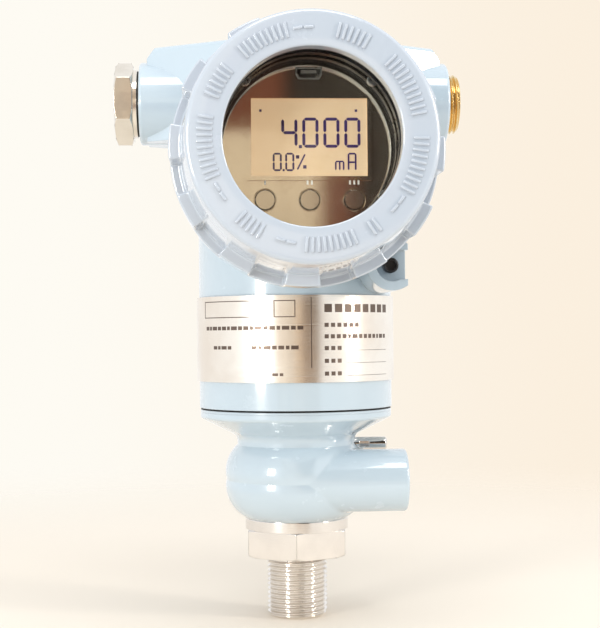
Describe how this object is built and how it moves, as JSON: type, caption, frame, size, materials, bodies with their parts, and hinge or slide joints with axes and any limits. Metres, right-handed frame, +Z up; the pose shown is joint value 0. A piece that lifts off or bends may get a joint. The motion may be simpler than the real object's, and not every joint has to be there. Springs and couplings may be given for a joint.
{
  "type": "pressure transmitter",
  "caption": "Cast pressure transmitter with a round window cover over a small display, side conduit entries, a wrapped steel plate and a hexagon with a male thread below.",
  "frame": {"origin": "on the process thread's axis, at the sealing face under the hexagon", "axes": "+Z up along the body, away from the process thread; -Y out of the display; +X to the reader's right"},
  "size_m": [0.116, 0.1275, 0.1897],
  "materials": {
    "housing_paint": "gloss powder coat",
    "stainless": "turned, bright",
    "nameplate_steel": "brushed sheet",
    "plug_steel": "nickel plated",
    "fastener_steel": "plain",
    "spacer_brass": "plain",
    "fitting_brass": "turned, bright",
    "window": "clear",
    "ring_aluminium": "machined",
    "face_plastic": "gloss",
    "lcd_film": "satin",
    "key_plastic": "satin",
    "case_plastic": "matte",
    "circuit_board": "solder mask",
    "black_rubber": "matte"
  },
  "bodies": {
    "sensor_module": {"process_connection": "stainless", "shank_o_ring": "black_rubber", "isolating_diaphragm": "stainless", "sensor_capsule": "stainless", "sensor_casting": "housing_paint", "neck_screw": "stainless", "seam_o_ring": "black_rubber", "sensor_board": "circuit_board", "sensor_spacers": "spacer_brass", "sensor_board_screws": "fastener_steel", "sensor_header": "case_plastic"},
    "housing": {"housing_body": "housing_paint", "housing_head": "housing_paint", "left_conduit_entry": "housing_paint", "right_conduit_entry": "housing_paint", "nameplate_band": "nameplate_steel", "nameplate_rivets": "nameplate_steel", "turn_ring": "ring_aluminium", "turn_ring_screws": "fastener_steel", "terminal_block": "case_plastic", "terminal_screws": "fastener_steel", "earth_screw": "fastener_steel", "cable_grommet": "black_rubber", "grommet_washer": "fastener_steel"},
    "cover_seal": {"cover_o_ring": "black_rubber"},
    "cover": {"cover_shell": "housing_paint", "window_gasket": "black_rubber", "window_glass": "window", "glass_ring": "ring_aluminium"},
    "display": {"faceplate": "face_plastic", "lcd_frame": "face_plastic", "lcd_panel": "lcd_film", "usb_socket": "fastener_steel", "display_case": "case_plastic", "logic_board": "circuit_board", "power_board": "circuit_board", "display_spacers": "spacer_brass", "display_screws": "fastener_steel", "key_switches": "case_plastic"},
    "left_key": {"key_left": "key_plastic"},
    "middle_key": {"key_middle": "key_plastic"},
    "right_key": {"key_right": "key_plastic"},
    "lock_screw": {"cover_lock_screw": "fastener_steel"},
    "plug_seal": {"plug_gasket": "black_rubber", "plug_washer": "plug_steel"},
    "plug": {"conduit_plug": "plug_steel"},
    "fitting": {"cable_fitting": "fitting_brass"}
  },
  "joints": [
    {"name": "housing_turn", "type": "hinge", "parent": "sensor_module", "child": "housing", "pos_m": [0, 0, 0.0496], "axis": [0, 0, 1], "range_deg": [-180, 180]},
    {"name": "cover_travel", "type": "slide", "parent": "housing", "child": "cover_seal", "axis": [0, -1, 0], "range_m": [0, 0.012]},
    {"name": "cover_turn", "type": "hinge", "parent": "cover_seal", "child": "cover", "pos_m": [0, -0.0664, 0.1268], "axis": [0, -1, 0], "range_deg": [0, 2160]},
    {"name": "display_turn", "type": "hinge", "parent": "housing", "child": "display", "pos_m": [0, -0.0501, 0.1268], "axis": [0, -1, 0], "range_deg": [-165, 165]},
    {"name": "left_key_press", "type": "slide", "parent": "display", "child": "left_key", "axis": [0, 1, 0], "range_m": [0, 0.0006], "stiffness_N_per_m": 400},
    {"name": "middle_key_press", "type": "slide", "parent": "display", "child": "middle_key", "axis": [0, 1, 0], "range_m": [0, 0.0006], "stiffness_N_per_m": 400},
    {"name": "right_key_press", "type": "slide", "parent": "display", "child": "right_key", "axis": [0, 1, 0], "range_m": [0, 0.0006], "stiffness_N_per_m": 400},
    {"name": "lock_screw_turn", "type": "hinge", "parent": "housing", "child": "lock_screw", "pos_m": [0.0265, -0.0455, 0.0944], "axis": [0, -1, 0], "range_deg": [0, 720]},
    {"name": "plug_travel", "type": "slide", "parent": "housing", "child": "plug_seal", "axis": [-1, 0, 0], "range_m": [0, 0.009]},
    {"name": "plug_turn", "type": "hinge", "parent": "plug_seal", "child": "plug", "pos_m": [-0.0535, 0, 0.1515], "axis": [-1, 0, 0], "range_deg": [0, 2160]},
    {"name": "fitting_travel", "type": "slide", "parent": "housing", "child": "fitting", "axis": [1, 0, 0], "range_m": [0, 0.013]}
  ],
  "couplings": [
    {"joint": "cover_travel", "follows": "cover_turn", "m_per_rad": 0.0003183},
    {"joint": "plug_travel", "follows": "plug_turn", "m_per_rad": 0.0002387}
  ]
}
